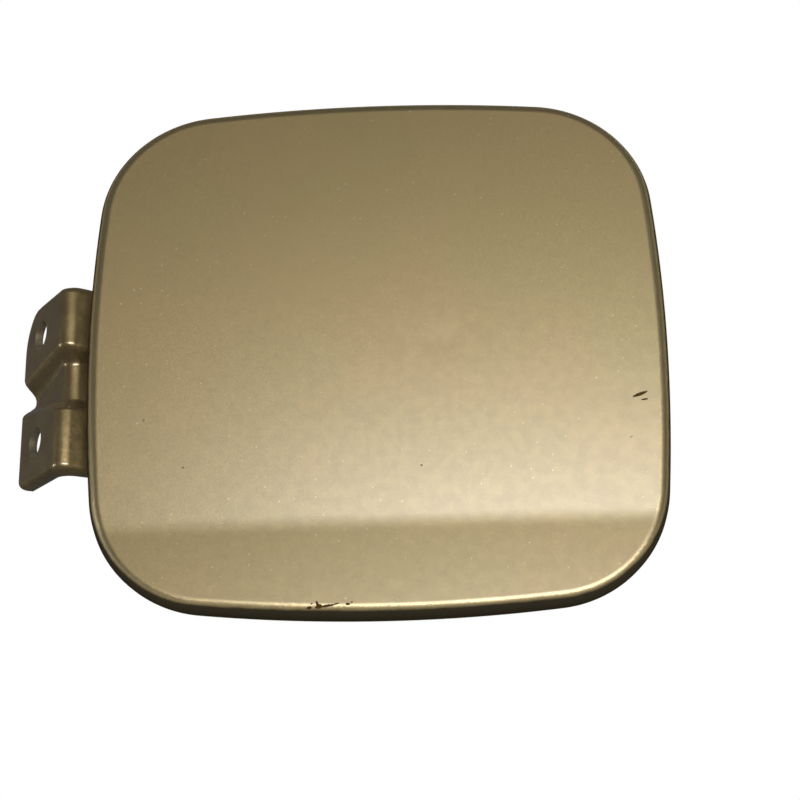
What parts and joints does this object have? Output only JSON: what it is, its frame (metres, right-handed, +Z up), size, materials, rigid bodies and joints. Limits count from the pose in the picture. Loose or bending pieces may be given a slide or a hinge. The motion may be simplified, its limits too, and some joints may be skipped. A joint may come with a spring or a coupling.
{
  "type": "car fuel door",
  "caption": "Painted steel fuel door with a pressed inner panel, a sprung side hinge and a two-hole bracket, standing open.",
  "frame": {"origin": "middle of the two bolt holes, on the bracket face that the car body carries", "axes": "+Z up along the hinge pin, +X from the hinge to the free edge, the painted face looks along -Y"},
  "size_m": [0.175, 0.0304, 0.1434],
  "materials": {
    "lid_paint": "metallic beige under clear coat",
    "bracket_paint": "metallic beige, thin overspray",
    "plated_steel": "zinc plated, dull",
    "spring_steel": "drawn wire, oiled",
    "buffer_rubber": "matt black"
  },
  "bodies": {
    "bracket": {"hinge_bracket": "bracket_paint", "hinge_pin": "plated_steel", "hinge_spring": "spring_steel"},
    "lid": {"outer_panel": "lid_paint", "inner_panel": "lid_paint", "hinge_leaf": "lid_paint", "latch_striker": "plated_steel", "upper_buffer": "buffer_rubber", "lower_buffer": "buffer_rubber"}
  },
  "joints": [
    {"name": "lid_hinge", "type": "hinge", "parent": "bracket", "child": "lid", "pos_m": [0.03122, -0.00022, 0], "axis": [0, 0, 1], "range_deg": [0, 90], "stiffness_Nm_per_rad": 0.15, "springref_deg": -34.38, "deforming": ["hinge_spring"]}
  ]
}
